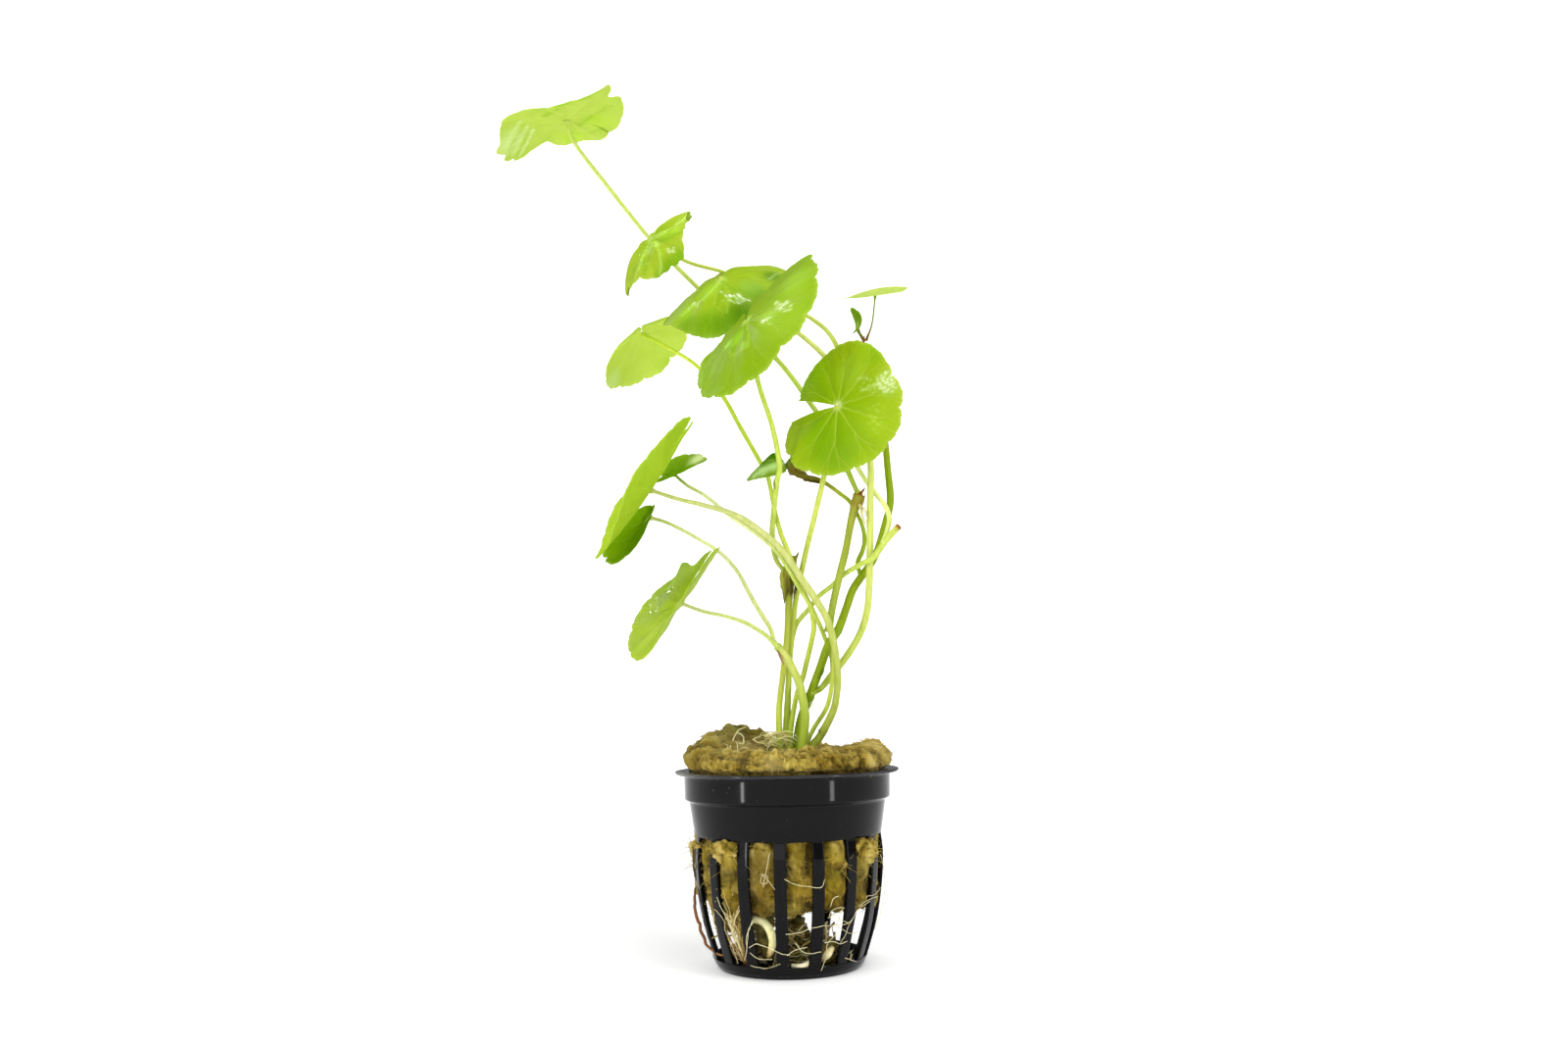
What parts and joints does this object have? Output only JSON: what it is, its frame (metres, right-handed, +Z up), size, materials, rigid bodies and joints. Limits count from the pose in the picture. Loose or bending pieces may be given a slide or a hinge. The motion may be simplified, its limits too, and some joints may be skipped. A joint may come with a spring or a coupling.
{
  "type": "potted brazilian pennywort aquarium plant",
  "caption": "Creeping aquarium plant with round scalloped leaves on long thin stalks, rooted in a plug of mineral wool in a slotted net pot.",
  "frame": {"origin": "middle of the net pot's flat underside", "axes": "+Z up along the pot's axis, -Y towards the front, +X to the front's right"},
  "size_m": [0.1082, 0.0811, 0.2203],
  "materials": {
    "black_plastic": "satin",
    "wool": "matte",
    "leaf": "satin",
    "stalk": "satin",
    "root": "matte"
  },
  "bodies": {
    "root": {"net_pot": "black_plastic", "rockwool_plug": "wool", "stem_left": "stalk", "stem_main": "stalk", "stem_cut": "stalk", "stem_low": "stalk", "stem_side": "stalk", "stem_front": "stalk", "petiole_01": "stalk", "petiole_02": "stalk", "petiole_03": "stalk", "petiole_04": "stalk", "petiole_05": "stalk", "petiole_06": "stalk", "petiole_07": "stalk", "petiole_08": "stalk", "petiole_09": "stalk", "petiole_10": "stalk", "petiole_11": "stalk", "petiole_12": "stalk", "leaf_01": "leaf", "leaf_02": "leaf", "leaf_03": "leaf", "leaf_04": "leaf", "leaf_05": "leaf", "leaf_06": "leaf", "leaf_07": "leaf", "leaf_08": "leaf", "leaf_09": "leaf", "leaf_10": "leaf", "leaf_11": "leaf", "leaf_12": "leaf", "leaf_13": "leaf", "root_thick": "root", "root_bundle": "root", "root_side": "root", "root_mat": "root"}
  },
  "joints": []
}
